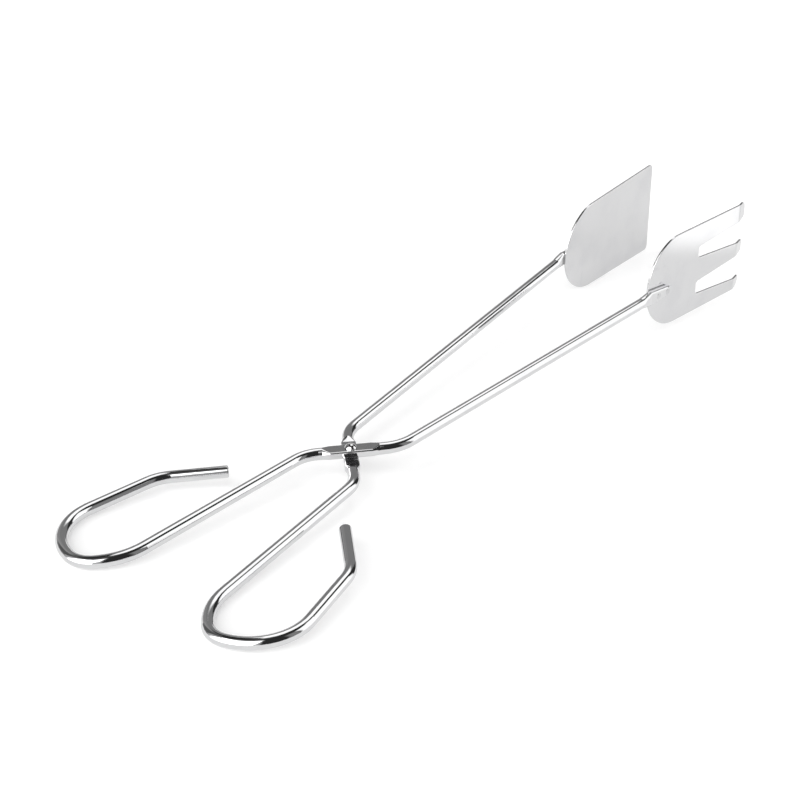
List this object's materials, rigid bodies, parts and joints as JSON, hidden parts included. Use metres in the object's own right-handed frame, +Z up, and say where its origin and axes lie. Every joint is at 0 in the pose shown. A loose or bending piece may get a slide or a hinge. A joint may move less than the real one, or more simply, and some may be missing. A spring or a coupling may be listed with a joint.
{
  "type": "scissor tongs",
  "caption": "Bright plated wire scissor tongs, crossed at one rivet, with a flat spatula blade on one arm and a slotted fork blade on the other.",
  "frame": {"origin": "centre of the bounding box at the height of the table the tongs rest on", "axes": "+X runs from the handle loops to the blades, +Y towards the side the spatula blade is on, +Z up from the table"},
  "size_m": [0.4022, 0.113, 0.0553],
  "materials": {
    "wire": "bright plated",
    "blade": "bright plated, lightly brushed",
    "rivet": "polished"
  },
  "bodies": {
    "spatula_side": {"spatula_lever": "wire", "spatula_blade": "blade", "rivet": "rivet"},
    "fork_side": {"fork_lever": "wire", "fork_blade": "blade"}
  },
  "joints": [
    {"name": "scissor_pivot", "type": "hinge", "parent": "spatula_side", "child": "fork_side", "pos_m": [-0.08193, -0.00026, 0.0104], "axis": [-0.0655, 0.0477, 0.9967], "range_deg": [-55.5, 13.3]}
  ]
}
